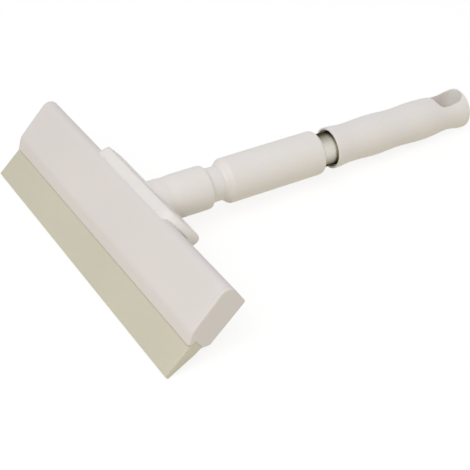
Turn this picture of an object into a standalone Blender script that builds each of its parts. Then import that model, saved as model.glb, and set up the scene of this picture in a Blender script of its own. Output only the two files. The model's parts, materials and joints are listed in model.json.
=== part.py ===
# Table squeegee: a long blade holder on a short telescopic handle.
# Metres, +Z up. The squeegee lies on a table, on the edge of its blade and the end of its grip.
# The head runs along X, the handle leaves it towards +Y, and the origin is the middle of the footprint.

import math

import bmesh
import bpy
from mathutils import Matrix, Vector

# Shared clearances
CLEARANCE = 0.0003
OVERRUN = 0.002
TURN_STEPS = 48
ARC_STEPS = 5

# Blade: a rubber wedge with a T shaped root
BLADE_LENGTH = 0.230
BLADE_REACH = 0.0238
BLADE_TIP = 0.0026
BLADE_ROOT = 0.0074
BLADE_BEAD_WIDTH = 0.0100
BLADE_BEAD_HEIGHT = 0.0035
BLADE_NECK = 0.0034
BLADE_SHOULDER = 0.00025

# Head: the moulded holder, whose section leans forward over the blade
HEAD_HEIGHT = 0.0345
HEAD_DEPTH = 0.0192
HEAD_WALL = 0.0022
FRONT_LEAN = math.radians(9.4)
BACK_LEAN = math.radians(6.8)
TOP_TILT = math.radians(4.5)
BACK_SETBACK = 0.0075
BACK_CHAMFER = 0.0043
LIP_WALL = 0.0006
FRONT_LIP_DROP = 0.0032
FRONT_CHAMFER = 0.0066
FRONT_LIP_WALL = 0.0011
FRONT_TOP_ROUND = 0.0060
FRONT_LOW_ROUND = 0.0070
BACK_TOP_ROUND = 0.0015
BACK_LOW_ROUND = 0.0010
LIP_ROUND = 0.0003
CELL_ROUND = 0.0012
SLOT_ROOF = 0.0024
LOWER_CELL_HEIGHT = 0.0065
SCREW_WEB = 0.0062

# End caps: flat plates with two tongues that plug into the head's cells and a notch for the blade's neck
CAP_THICKNESS = 0.0026
CAP_TONGUE = 0.0050

# Handle axis, seen from the head
HANDLE_ANGLE = math.radians(37.4)
HANDLE_RISE = 0.0061
HANDLE_BACK = 0.0121

# Saddle: a bracket over the head's back corner that carries the neck socket
SADDLE_HALF_LENGTH = 0.0505
SADDLE_FRONT_GAP = 0.0025
SADDLE_FRONT_THICKNESS = 0.0045
SADDLE_OVERHANG = 0.0083
SADDLE_CROWN = 0.0070
SADDLE_DROP = 0.0240
SADDLE_LEG_THICKNESS = 0.0040
SADDLE_ROUND = 0.0016
SADDLE_CORNER_ROUND = 0.0035
SADDLE_EDGE_MARGIN = 0.0005
SADDLE_SEAT_HALF = 0.0330
SADDLE_RELIEF = 0.0012

# Neck socket
NECK_RADIUS = 0.0139
NECK_END = 0.0283
NECK_END_ROUND = 0.0020
NECK_FLARE = 0.0010
NECK_FLARE_START = 0.0040
NECK_FLARE_LENGTH = 0.0050
NECK_ROOT = 0.0360
SOCKET_DEPTH = 0.0263
SOCKET_CORE_RADIUS = 0.0085
SOCKET_CORE_DEPTH = 0.0100

# Saddle screws
SCREW_SPACING = 0.0560
SCREW_SHANK_RADIUS = 0.0015
SCREW_HEAD_RADIUS = 0.0030
SCREW_HEAD_HEIGHT = 0.0018
SCREW_LENGTH = 0.0085
SCREW_SINK = 0.0022

# Handle plug: a spigot in the neck and a waist, bored for the inner tube
WAIST_RADIUS = 0.0109
WAIST_LENGTH = 0.0091
PLUG_CHAMFER = 0.0004
PLUG_FLOOR = 0.0040
SPIGOT_LENGTH = 0.0243

# Inner tube: fixed in the plug
INNER_TUBE_RADIUS = 0.0090
INNER_TUBE_WALL = 0.0008

# Guide bush: on the inner tube's far end, it runs in the outer tube
BUSH_LENGTH = 0.0100
BUSH_SPIGOT = 0.0080

# Outer tube: slides over the inner tube and carries the grip
TUBE_RADIUS = 0.0110
TUBE_WALL = 0.0006
TUBE_GAP = 0.0097

# Tube stop: the plug in the outer tube's far end
STOP_FLANGE = 0.0012
STOP_DEPTH = 0.0070
STOP_GAP = 0.0013

# Lock collet: a socket on the outer tube's near end with four fingers round the inner tube
COLLET_SETBACK = 0.0033
COLLET_FINGERS = 0.0140
COLLET_FINGER_TIP = 0.0108
COLLET_FINGER_ROOT = 0.0116
COLLET_RADIUS = 0.0122
COLLET_SOCKET = 0.0220
COLLET_WEB = 0.0030
COLLET_SPLIT = 0.0016

# Twist sleeve
SLEEVE_RADIUS = 0.0144
SLEEVE_LENGTH = 0.0716
SLEEVE_NOSE_RADIUS = 0.0120
SLEEVE_NOSE_LENGTH = 0.0060
SLEEVE_NOSE_WALL = 0.0034
SLEEVE_END_ROUND = 0.0024
SLEEVE_CONE_RADIUS = 0.0109
SLEEVE_CONE_LENGTH = 0.0070
SLEEVE_LIP_LENGTH = 0.0050
SLEEVE_LIP_SLOPE = 0.0012

# Grip
GRIP_DEPTH = 0.0785
GRIP_RADIUS = 0.01305
GRIP_WAVE = 0.00035
GRIP_WAVE_LENGTH = 0.0375
GRIP_WAVE_START = 0.0330
GRIP_WAIST = 0.00055
GRIP_WAIST_PLACE = 0.0920
GRIP_WAIST_REACH = 0.0130
GRIP_MOUTH_RADIUS = 0.0136
GRIP_MOUTH_BORE = 0.0127
GRIP_MOUTH_DEPTH = 0.0060
GRIP_MOUTH_BLEND = 0.0120
GRIP_MOUTH_ROUND = 0.0003
GRIP_END_ROUND = 0.0035
GRIP_STATIONS = 26
GRIP_END_STATIONS = 8
SLOT_LENGTH = 0.0212
SLOT_WIDTH = 0.0165
SLOT_WALL = 0.0055
SLOT_FROM_END = 0.0040

# Positions along the handle, from the point where its axis leaves the saddle
BORE_LOW = NECK_END - SOCKET_DEPTH
CORE_LOW = BORE_LOW - SOCKET_CORE_DEPTH
COLLAR_START = NECK_END + CLEARANCE
PLUG_END = COLLAR_START + WAIST_LENGTH
PLUG_START = NECK_END - SPIGOT_LENGTH
PLUG_FLOOR_END = PLUG_START + PLUG_FLOOR
INNER_TUBE_START = PLUG_FLOOR_END + CLEARANCE
SLEEVE_START = PLUG_END + CLEARANCE
SLEEVE_END = SLEEVE_START + SLEEVE_LENGTH
SLEEVE_CONE_START = SLEEVE_START + SLEEVE_NOSE_WALL
SLEEVE_LIP_START = SLEEVE_END - SLEEVE_LIP_LENGTH
COLLET_START = SLEEVE_CONE_START + COLLET_SETBACK
SOCKET_START = COLLET_START + COLLET_FINGERS
COLLET_END = SOCKET_START + COLLET_SOCKET
TUBE_START = SOCKET_START + CLEARANCE
GRIP_START = SLEEVE_END + TUBE_GAP
GRIP_BORE_END = GRIP_START + GRIP_DEPTH
SLOT_START = GRIP_BORE_END + SLOT_WALL
GRIP_END = SLOT_START + SLOT_LENGTH + SLOT_FROM_END
STOP_END = GRIP_BORE_END - CLEARANCE
STOP_START = STOP_END - STOP_FLANGE
TUBE_END = STOP_START - CLEARANCE
BUSH_END = STOP_START - STOP_DEPTH - STOP_GAP
BUSH_START = BUSH_END - BUSH_LENGTH
INNER_TUBE_END = BUSH_START - CLEARANCE

# Radii that follow from a neighbour and the clearance
SPIGOT_RADIUS = WAIST_RADIUS - PLUG_CHAMFER - CLEARANCE
SOCKET_RADIUS = SPIGOT_RADIUS + CLEARANCE
INNER_FIT = INNER_TUBE_RADIUS + CLEARANCE
INNER_TUBE_BORE = INNER_TUBE_RADIUS - INNER_TUBE_WALL
TUBE_FIT = TUBE_RADIUS + CLEARANCE
TUBE_BORE = TUBE_RADIUS - TUBE_WALL
TUBE_BORE_FIT = TUBE_BORE - CLEARANCE
SLEEVE_BORE = COLLET_RADIUS + CLEARANCE

# Heights of the head's section above the blade's edge
SLOT_HALF = BLADE_ROOT / 2 - BLADE_SHOULDER + CLEARANCE
BEAD_LOW = BLADE_REACH + BLADE_NECK
BEAD_HIGH = BEAD_LOW + BLADE_BEAD_HEIGHT
FRONT_LIP_HEIGHT = BLADE_REACH - FRONT_LIP_DROP
LOWER_CELL_LOW = BEAD_HIGH + CLEARANCE + SLOT_ROOF
LOWER_CELL_HIGH = LOWER_CELL_LOW + LOWER_CELL_HEIGHT
UPPER_CELL_LOW = LOWER_CELL_HIGH + SCREW_WEB
HEAD_TOP = BLADE_REACH + HEAD_HEIGHT
HEAD_BODY_LENGTH = BLADE_LENGTH - 2 * (CAP_THICKNESS + CLEARANCE)


def section_corners():
    """The head's outer corners as (back, up) pairs from the blade's edge."""
    back_lip = Vector((SLOT_HALF + LIP_WALL, BLADE_REACH))
    back_low = Vector((BACK_SETBACK, BLADE_REACH + BACK_CHAMFER))
    rise = HEAD_TOP - back_low.y
    back_top = Vector((back_low.x - rise * math.tan(BACK_LEAN), HEAD_TOP))
    front_top = back_top + HEAD_DEPTH * Vector((-math.cos(TOP_TILT), math.sin(TOP_TILT)))
    front_lip = Vector((-SLOT_HALF - FRONT_LIP_WALL, FRONT_LIP_HEIGHT))
    low_height = FRONT_LIP_HEIGHT + FRONT_CHAMFER
    front_low = Vector((front_top.x + (front_top.y - low_height) * math.tan(FRONT_LEAN), low_height))
    return back_lip, back_low, back_top, front_top, front_low, front_lip


BACK_LIP, BACK_LOW, BACK_TOP, FRONT_TOP, FRONT_LOW, FRONT_LIP = section_corners()
TOP_ALONG = (FRONT_TOP - BACK_TOP).normalized()
TOP_NORMAL = Vector((TOP_ALONG.y, -TOP_ALONG.x))
BACK_ALONG = (BACK_LOW - BACK_TOP).normalized()
BACK_NORMAL = Vector((-BACK_ALONG.y, BACK_ALONG.x))
HANDLE_POINT = BACK_TOP + Vector((HANDLE_BACK, HANDLE_RISE))
HANDLE_ALONG = Vector((math.sin(HANDLE_ANGLE), math.cos(HANDLE_ANGLE)))
HANDLE_ACROSS = Vector((math.cos(HANDLE_ANGLE), -math.sin(HANDLE_ANGLE)))


def front_at(height):
    """The front face's place at a height."""
    return FRONT_TOP.x + (FRONT_TOP.y - height) * math.tan(FRONT_LEAN)


def back_at(height):
    """The back face's place at a height."""
    return BACK_TOP.x + (BACK_TOP.y - height) * math.tan(BACK_LEAN)


def meet(point, along, other_point, other_along):
    """Where two lines of the section cross."""
    offset = other_point - point
    cross = along.x * other_along.y - along.y * other_along.x
    step = (offset.x * other_along.y - offset.y * other_along.x) / cross
    return point + along * step


def rounded(corners):
    """An outline through (point, radius) corners, each rounded by an arc."""
    outline = []
    count = len(corners)
    for index, (corner, radius) in enumerate(corners):
        before = corners[index - 1][0] - corner
        after = corners[(index + 1) % count][0] - corner
        half = before.angle(after) / 2
        room = min(before.length, after.length) / 2
        reach = min(radius / math.tan(half), room) if radius else 0.0
        if not reach:
            outline.append(corner.copy())
            continue
        true_radius = reach * math.tan(half)
        inward = (before.normalized() + after.normalized()).normalized()
        centre = corner + inward * (true_radius / math.sin(half))
        start = corner + before.normalized() * reach - centre
        end = corner + after.normalized() * reach - centre
        sweep = start.angle_signed(end)
        for step in range(ARC_STEPS + 1):
            turn = Matrix.Rotation(-sweep * step / ARC_STEPS, 2)
            outline.append(centre + turn @ start)
    return outline


def grip_radius(along):
    """The grip's radius at a distance from its mouth: a flare, a finger wave and a waist by the slot."""
    wave = GRIP_WAVE * math.cos(math.tau * (along - GRIP_WAVE_START) / GRIP_WAVE_LENGTH)
    plain = GRIP_RADIUS + wave
    off_waist = abs(along - GRIP_WAIST_PLACE) / GRIP_WAIST_REACH
    if off_waist < 1:
        plain -= GRIP_WAIST * (0.5 + 0.5 * math.cos(math.pi * off_waist))
    if along < GRIP_MOUTH_BLEND:
        share = 0.5 + 0.5 * math.cos(math.pi * along / GRIP_MOUTH_BLEND)
        return plain + (GRIP_MOUTH_RADIUS - plain) * share
    return plain


def grip_outline():
    """The grip's outer profile from its mouth to its end, as (radius, place along the handle)."""
    barrel = GRIP_END - GRIP_START - GRIP_END_ROUND
    points = []
    for step in range(GRIP_STATIONS + 1):
        along = barrel * step / GRIP_STATIONS
        points.append((grip_radius(along), GRIP_START + along))
    last = grip_radius(barrel)
    for step in range(1, GRIP_END_STATIONS):
        angle = math.pi / 2 * step / GRIP_END_STATIONS
        points.append((last * math.cos(angle), GRIP_START + barrel + GRIP_END_ROUND * math.sin(angle)))
    points.append((0.0, GRIP_END))
    return points


def resting_lean():
    """The blade's angle to the table when its edge and the grip both touch it."""
    edge = Vector((BLADE_TIP / 2, 0.0))
    angles = []
    for radius, along in grip_outline():
        low = HANDLE_POINT + HANDLE_ALONG * along + HANDLE_ACROSS * radius - edge
        angles.append(math.atan2(low.x, low.y))
    return max(angles)


LEAN = resting_lean()


def section_to_world(point):
    """A point of the head's section, as (y, z), before the origin is moved."""
    return Vector((point.y * math.cos(LEAN) + point.x * math.sin(LEAN),
                   point.y * math.sin(LEAN) - point.x * math.cos(LEAN)))


def frame_matrices():
    """The head's and the handle's own frames, placed so that the origin is under the middle."""
    edge_back = section_to_world(Vector((BLADE_TIP / 2, 0.0)))
    edge_front = section_to_world(Vector((-BLADE_TIP / 2, 0.0)))
    far_end = section_to_world(HANDLE_POINT + HANDLE_ALONG * GRIP_END)
    middle = (edge_front.x + far_end.x) / 2
    shift = Vector((0.0, -middle, -edge_back.y))
    back = Vector((0.0, math.sin(LEAN), -math.cos(LEAN)))
    up = Vector((0.0, math.cos(LEAN), math.sin(LEAN)))
    head = Matrix.Translation(shift) @ Matrix((back, up, back.cross(up))).transposed().to_4x4()
    start = section_to_world(HANDLE_POINT)
    along = back * HANDLE_ALONG.x + up * HANDLE_ALONG.y
    side = Vector((1.0, 0.0, 0.0))
    turned = Matrix((side, along.cross(side), along)).transposed().to_4x4()
    handle = Matrix.Translation(shift + Vector((0.0, start.x, start.y))) @ turned
    return head, handle


def clear_scene():
    for item in list(bpy.data.objects):
        bpy.data.objects.remove(item, do_unlink=True)


def new_collection(name):
    collection = bpy.data.collections.new(name)
    bpy.context.scene.collection.children.link(collection)
    return collection


def new_frame(name, matrix, collection):
    frame = bpy.data.objects.new(name, None)
    frame.empty_display_size = HEAD_DEPTH
    frame.matrix_world = matrix
    collection.objects.link(frame)
    return frame


def new_material(name, colour, roughness, metallic):
    material = bpy.data.materials.new(name)
    material.use_nodes = True
    shader = material.node_tree.nodes["Principled BSDF"]
    shader.inputs["Base Color"].default_value = (*colour, 1.0)
    shader.inputs["Roughness"].default_value = roughness
    shader.inputs["Metallic"].default_value = metallic
    return material


def add_object(name, mesh, collection, parent, material=None):
    item = bpy.data.objects.new(name, mesh)
    collection.objects.link(item)
    item.parent = parent
    if material:
        mesh.materials.append(material)
    return item


def extruded_mesh(name, outlines, length):
    """A solid from flat outlines, the first outside and the rest holes, centred on its length."""
    curve = bpy.data.curves.new(name + "_outline", "CURVE")
    curve.dimensions = "2D"
    curve.fill_mode = "BOTH"
    curve.extrude = length / 2
    for outline in outlines:
        spline = curve.splines.new("POLY")
        spline.points.add(len(outline) - 1)
        for target, point in zip(spline.points, outline):
            target.co = (point.x, point.y, 0.0, 1.0)
        spline.use_cyclic_u = True
    holder = bpy.data.objects.new(name + "_outline", curve)
    bpy.context.scene.collection.objects.link(holder)
    graph = bpy.context.evaluated_depsgraph_get()
    mesh = bpy.data.meshes.new_from_object(holder.evaluated_get(graph))
    bpy.data.objects.remove(holder, do_unlink=True)
    shape = bmesh.new()
    shape.from_mesh(mesh)
    bmesh.ops.remove_doubles(shape, verts=shape.verts, dist=CLEARANCE / 100)
    bmesh.ops.recalc_face_normals(shape, faces=shape.faces)
    shape.to_mesh(mesh)
    shape.free()
    mesh.name = name
    return mesh


def turned_object(name, profile, collection, parent, material=None, closed=False):
    """A turned shape: profile is (radius, along) pairs that run down the outer side."""
    mesh = bpy.data.meshes.new(name)
    shape = bmesh.new()
    verts = [shape.verts.new((radius, 0.0, along)) for radius, along in profile]
    for first, second in zip(verts, verts[1:]):
        shape.edges.new((first, second))
    if closed:
        shape.edges.new((verts[-1], verts[0]))
    shape.to_mesh(mesh)
    shape.free()
    item = add_object(name, mesh, collection, parent, material)
    turn = item.modifiers.new("Turn", "SCREW")
    turn.axis = "Z"
    turn.angle = math.tau
    turn.steps = TURN_STEPS
    turn.render_steps = TURN_STEPS
    turn.use_merge_vertices = True
    turn.merge_threshold = CLEARANCE / 100
    turn.use_smooth_shade = True
    return item


def quarter(radius_from, along_from, radius_to, along_to, steps, outward_first):
    """A quarter ellipse between two profile points, without its first point."""
    points = []
    for step in range(1, steps + 1):
        angle = math.pi / 2 * step / steps
        if outward_first:
            across, forward = math.sin(angle), 1 - math.cos(angle)
        else:
            across, forward = 1 - math.cos(angle), math.sin(angle)
        points.append((radius_from + (radius_to - radius_from) * across,
                       along_from + (along_to - along_from) * forward))
    return points


def cut(target, cutter, operation="DIFFERENCE"):
    modifier = target.modifiers.new(cutter.name, "BOOLEAN")
    modifier.operation = operation
    modifier.solver = "EXACT"
    modifier.object = cutter
    cutter.hide_render = True
    cutter.display_type = "WIRE"


def cell_outline(low, high, inset):
    """A cell inside the head's walls between two heights; the topmost one follows the top face."""
    front_step = (HEAD_WALL + inset) / math.cos(FRONT_LEAN)
    back_step = (HEAD_WALL + inset) / math.cos(BACK_LEAN)
    low = low + inset
    corners = [Vector((back_at(low) - back_step, low)), None, None, Vector((front_at(low) + front_step, low))]
    if high is None:
        roof = BACK_TOP - TOP_NORMAL * (HEAD_WALL + inset)
        back_line = Vector((math.tan(-BACK_LEAN), 1.0))
        front_line = Vector((math.tan(-FRONT_LEAN), 1.0))
        corners[1] = meet(corners[0], back_line, roof, TOP_ALONG)
        corners[2] = meet(corners[3], front_line, roof, TOP_ALONG)
    else:
        high = high - inset
        corners[1] = Vector((back_at(high) - back_step, high))
        corners[2] = Vector((front_at(high) + front_step, high))
    return rounded([(corner, CELL_ROUND) for corner in corners])


def outer_corners():
    """The head's outer corners with their radii, from the back lip round to the front lip."""
    return [(BACK_LIP, LIP_ROUND), (BACK_LOW, BACK_LOW_ROUND), (BACK_TOP, BACK_TOP_ROUND),
            (FRONT_TOP, FRONT_TOP_ROUND), (FRONT_LOW, FRONT_LOW_ROUND), (FRONT_LIP, LIP_ROUND)]


def slot_corners():
    """The T slot's corners, from its front mouth round to its back mouth."""
    wide = BLADE_BEAD_WIDTH / 2 + CLEARANCE
    low = BEAD_LOW - CLEARANCE
    high = BEAD_HIGH + CLEARANCE
    points = [(-SLOT_HALF, FRONT_LIP_HEIGHT), (-SLOT_HALF, low), (-wide, low), (-wide, high),
              (wide, high), (wide, low), (SLOT_HALF, low), (SLOT_HALF, BLADE_REACH)]
    return [(Vector(point), 0.0) for point in points]


def notch_corners():
    """The end caps' notch, which the blade's neck fills, from its front mouth round to its back mouth."""
    roof = BEAD_LOW - CLEARANCE
    points = [(-SLOT_HALF, FRONT_LIP_HEIGHT), (-SLOT_HALF, roof), (SLOT_HALF, roof), (SLOT_HALF, BLADE_REACH)]
    return [(Vector(point), 0.0) for point in points]


def screw_matrix(side):
    """A saddle screw's frame: on the head's back face, its axis pointing out of it."""
    height = (LOWER_CELL_HIGH + UPPER_CELL_LOW) / 2
    place = Vector((back_at(height), height))
    out = Vector((BACK_NORMAL.x, BACK_NORMAL.y, 0.0))
    across = Vector((0.0, 0.0, 1.0))
    turn = Matrix((across, out.cross(across), out)).transposed().to_4x4()
    return Matrix.Translation(Vector((place.x, place.y, side * SCREW_SPACING / 2))) @ turn


def leg_depth():
    """The saddle's thickness along a screw's axis, from the head's back face."""
    height = (LOWER_CELL_HIGH + UPPER_CELL_LOW) / 2
    down = (HEAD_TOP - height) / math.cos(BACK_LEAN)
    share = down / SADDLE_DROP
    return SADDLE_OVERHANG + (SADDLE_LEG_THICKNESS - SADDLE_OVERHANG) * share


def build_head_body(collection, cutters, frame, material):
    outline = rounded(outer_corners() + slot_corners())
    lower = cell_outline(LOWER_CELL_LOW, LOWER_CELL_HIGH, 0.0)
    upper = cell_outline(UPPER_CELL_LOW, None, 0.0)
    mesh = extruded_mesh("head_body", [outline, lower, upper], HEAD_BODY_LENGTH)
    body = add_object("head_body", mesh, collection, frame, material)
    for name, side in (("left", -1), ("right", 1)):
        radius = SCREW_SHANK_RADIUS + CLEARANCE
        depth = SCREW_LENGTH + CLEARANCE
        profile = [(0.0, OVERRUN), (radius, OVERRUN), (radius, -depth), (0.0, -depth)]
        hole = turned_object("screw_hole_" + name, profile, cutters, frame)
        hole.matrix_local = screw_matrix(side)
        cut(body, hole)
    return body


def build_end_cap(name, side, collection, cutters, frame, material):
    plate_mesh = extruded_mesh(name, [rounded(outer_corners() + notch_corners())], CAP_THICKNESS)
    plate = add_object(name, plate_mesh, collection, frame, material)
    plate.location.z = side * (BLADE_LENGTH - CAP_THICKNESS) / 2
    reach = CAP_TONGUE + CAP_THICKNESS
    cells = (("lower", LOWER_CELL_LOW, LOWER_CELL_HIGH), ("upper", UPPER_CELL_LOW, None))
    for label, low, high in cells:
        tongue_mesh = extruded_mesh(name + "_" + label, [cell_outline(low, high, CLEARANCE)], reach)
        tongue = add_object(name + "_tongue_" + label, tongue_mesh, cutters, frame)
        tongue.location.z = side * (BLADE_LENGTH / 2 - CAP_THICKNESS / 2 - reach / 2)
        cut(plate, tongue, "UNION")
    return plate


def build_blade(collection, cutters, frame, material):
    top = FRONT_LIP_HEIGHT - CLEARANCE
    tip = BLADE_TIP / 2
    root = BLADE_ROOT / 2
    bead = BLADE_BEAD_WIDTH / 2
    neck = root - BLADE_SHOULDER
    half = [(tip, 0.0), (root, top), (neck, top), (neck, BEAD_LOW), (bead, BEAD_LOW), (bead, BEAD_HIGH)]
    outline = [Vector(point) for point in half] + [Vector((-back, up)) for back, up in reversed(half)]
    blade = add_object("blade", extruded_mesh("blade", [outline], BLADE_LENGTH), collection, frame, material)
    for name, side in (("left", -1), ("right", 1)):
        low = BEAD_LOW - 2 * CLEARANCE
        high = BEAD_HIGH + OVERRUN
        room = [Vector((HEAD_DEPTH, low)), Vector((HEAD_DEPTH, high)), Vector((-HEAD_DEPTH, high)),
                Vector((-HEAD_DEPTH, low))]
        run = (BLADE_LENGTH - HEAD_BODY_LENGTH) / 2 + OVERRUN
        room_mesh = extruded_mesh("blade_end_" + name, [room], run)
        piece = add_object("blade_end_" + name, room_mesh, cutters, frame)
        piece.location.z = side * (HEAD_BODY_LENGTH + run) / 2
        cut(blade, piece)
    return blade


def saddle_outline():
    """The saddle's bent section, over the top face and down the back face, thick enough to be cut to fit."""
    corner = BACK_TOP - TOP_NORMAL * OVERRUN - BACK_NORMAL * OVERRUN
    front_outer = BACK_TOP + TOP_ALONG * (HEAD_DEPTH - SADDLE_FRONT_GAP) + TOP_NORMAL * SADDLE_FRONT_THICKNESS
    front_inner = front_outer - TOP_NORMAL * (SADDLE_FRONT_THICKNESS + OVERRUN)
    crown = BACK_TOP - TOP_ALONG * SADDLE_OVERHANG + TOP_NORMAL * SADDLE_CROWN
    leg_outer = BACK_TOP + BACK_ALONG * SADDLE_DROP + BACK_NORMAL * SADDLE_LEG_THICKNESS
    leg_inner = leg_outer - BACK_NORMAL * (SADDLE_LEG_THICKNESS + OVERRUN)
    return [(front_inner, 0.0), (corner, 0.0), (leg_inner, 0.0), (leg_outer, SADDLE_ROUND),
            (crown, SADDLE_CORNER_ROUND), (front_outer, SADDLE_ROUND)]


def stadium(low, high, half_length):
    """A stadium outline: straight sides at low and high, round ends at the half length."""
    radius = (high - low) / 2
    middle = (high + low) / 2
    reach = half_length - radius
    outline = []
    steps = 3 * ARC_STEPS
    for side in (1, -1):
        for step in range(steps + 1):
            angle = -math.pi / 2 + math.pi * step / steps
            across = side * (reach + radius * math.cos(angle))
            outline.append(Vector((across, middle + side * radius * math.sin(angle))))
    return outline


def saddle_oval(section, cutters, frame):
    """The block whose stadium outline, seen along the handle, trims the saddle."""
    across = [(point - HANDLE_POINT).dot(HANDLE_ACROSS) for point, _ in section]
    along = [(point - HANDLE_POINT).dot(HANDLE_ALONG) for point, _ in section]
    low = min(across[3:]) - SADDLE_EDGE_MARGIN
    high = max(across[3:]) + SADDLE_EDGE_MARGIN
    oval = stadium(low, high, SADDLE_HALF_LENGTH)
    depth = max(along) - min(along) + 2 * OVERRUN
    piece = add_object("saddle_oval", extruded_mesh("saddle_oval", [oval], depth), cutters, frame)
    piece.location.z = (max(along) + min(along)) / 2
    return piece


def saddle_relief(name, side, cutters, frame):
    """A wedge that lifts the saddle's end off the head's top face, more towards the front."""
    start = BACK_TOP + TOP_NORMAL * CLEARANCE + TOP_ALONG * OVERRUN
    end = BACK_TOP + TOP_ALONG * (HEAD_DEPTH + OVERRUN)
    wedge = [start, BACK_TOP - TOP_NORMAL * 2 * OVERRUN, end - TOP_NORMAL * 2 * OVERRUN,
             end + TOP_NORMAL * (SADDLE_RELIEF + CLEARANCE)]
    run = SADDLE_HALF_LENGTH + OVERRUN - SADDLE_SEAT_HALF
    piece = add_object(name, extruded_mesh(name, [wedge], run), cutters, frame)
    piece.location.z = side * (SADDLE_SEAT_HALF + run / 2)
    return piece


def neck_shape(cutters, frame):
    """The neck with its flared foot and its stepped bore."""
    edge = NECK_RADIUS - NECK_END_ROUND
    foot = NECK_FLARE_START - NECK_FLARE_LENGTH
    profile = [(0.0, CORE_LOW), (SOCKET_CORE_RADIUS, CORE_LOW), (SOCKET_CORE_RADIUS, BORE_LOW),
               (SOCKET_RADIUS, BORE_LOW), (SOCKET_RADIUS, NECK_END), (edge, NECK_END)]
    profile += quarter(edge, NECK_END, NECK_RADIUS, NECK_END - NECK_END_ROUND, ARC_STEPS, True)
    profile.append((NECK_RADIUS, NECK_FLARE_START))
    profile += quarter(NECK_RADIUS, NECK_FLARE_START, NECK_RADIUS + NECK_FLARE, foot, ARC_STEPS, False)
    profile += [(NECK_RADIUS + NECK_FLARE, -NECK_ROOT), (0.0, -NECK_ROOT)]
    return turned_object("neck_tube", profile, cutters, frame)


def head_room(cutters, frame):
    """The head's outside with its clearance, extended past the saddle on every side."""
    top = BACK_TOP + TOP_NORMAL * CLEARANCE
    back = BACK_TOP + BACK_NORMAL * CLEARANCE
    corner = meet(top, TOP_ALONG, back, BACK_ALONG)
    front = top + TOP_ALONG * 2 * HEAD_DEPTH
    room = [corner, front, front - TOP_NORMAL * 2 * HEAD_HEIGHT, back + BACK_ALONG * 2 * HEAD_HEIGHT]
    length = 2 * SADDLE_HALF_LENGTH + 4 * OVERRUN
    return add_object("head_room", extruded_mesh("head_room", [room], length), cutters, frame)


def screw_sink(name, side, cutters, frame):
    """A counterbored hole through the saddle's leg."""
    seat = leg_depth() - SCREW_SINK
    hole_radius = SCREW_SHANK_RADIUS + CLEARANCE
    sink_radius = SCREW_HEAD_RADIUS + CLEARANCE
    top = SADDLE_OVERHANG + OVERRUN
    profile = [(0.0, top), (sink_radius, top), (sink_radius, seat), (hole_radius, seat),
               (hole_radius, -OVERRUN), (0.0, -OVERRUN)]
    hole = turned_object(name, profile, cutters, frame)
    hole.matrix_local = screw_matrix(side)
    return hole


def build_saddle(collection, cutters, head, handle, material):
    section = saddle_outline()
    length = 2 * (SADDLE_HALF_LENGTH + OVERRUN)
    mesh = extruded_mesh("neck_saddle", [rounded(section)], length)
    saddle = add_object("neck_saddle", mesh, collection, head, material)
    cut(saddle, saddle_oval(section, cutters, handle), "INTERSECT")
    cut(saddle, saddle_relief("relief_left", -1, cutters, head))
    cut(saddle, saddle_relief("relief_right", 1, cutters, head))
    room = (NECK_RADIUS + SOCKET_RADIUS) / 2
    profile = [(0.0, NECK_END), (room, NECK_END), (room, CORE_LOW - OVERRUN), (0.0, CORE_LOW - OVERRUN)]
    cut(saddle, turned_object("neck_room", profile, cutters, handle))
    cut(saddle, neck_shape(cutters, handle), "UNION")
    cut(saddle, head_room(cutters, head))
    cut(saddle, screw_sink("screw_sink_left", -1, cutters, head))
    cut(saddle, screw_sink("screw_sink_right", 1, cutters, head))
    return saddle


def build_saddle_screw(name, side, collection, cutters, frame, material):
    seat = leg_depth() - SCREW_SINK + CLEARANCE
    crown = seat + SCREW_HEAD_HEIGHT
    edge = crown - SCREW_HEAD_HEIGHT / 2
    profile = [(0.0, crown)]
    profile += quarter(0.0, crown, SCREW_HEAD_RADIUS, edge, ARC_STEPS, True)
    profile += [(SCREW_HEAD_RADIUS, seat), (SCREW_SHANK_RADIUS, seat),
                (SCREW_SHANK_RADIUS, SCREW_SHANK_RADIUS - SCREW_LENGTH), (0.0, -SCREW_LENGTH)]
    screw = turned_object(name, profile, collection, frame, material)
    screw.matrix_local = screw_matrix(side)
    for index in range(2):
        mesh = bpy.data.meshes.new(name + "_drive")
        shape = bmesh.new()
        bmesh.ops.create_cube(shape, size=1.0)
        span = (1.5 * SCREW_HEAD_RADIUS, SCREW_HEAD_HEIGHT / 3)
        size = Vector((span[index], span[1 - index], SCREW_HEAD_HEIGHT))
        bmesh.ops.scale(shape, vec=size, verts=shape.verts)
        shape.to_mesh(mesh)
        shape.free()
        drive = add_object("{}_drive_{}".format(name, index), mesh, cutters, frame)
        drive.matrix_local = screw_matrix(side) @ Matrix.Translation((0.0, 0.0, crown))
        cut(screw, drive)
    return screw


def build_handle_plug(collection, frame, material):
    profile = [(0.0, PLUG_FLOOR_END), (INNER_FIT, PLUG_FLOOR_END), (INNER_FIT, PLUG_END),
               (WAIST_RADIUS, PLUG_END), (WAIST_RADIUS, COLLAR_START + PLUG_CHAMFER),
               (WAIST_RADIUS - PLUG_CHAMFER, COLLAR_START), (SPIGOT_RADIUS, COLLAR_START),
               (SPIGOT_RADIUS, PLUG_START + PLUG_CHAMFER), (SPIGOT_RADIUS - PLUG_CHAMFER, PLUG_START),
               (0.0, PLUG_START)]
    return turned_object("handle_plug", profile, collection, frame, material)


def build_tube(name, bore, radius, start, end, collection, frame, material):
    profile = [(bore, end), (radius, end), (radius, start), (bore, start)]
    return turned_object(name, profile, collection, frame, material, closed=True)


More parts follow.
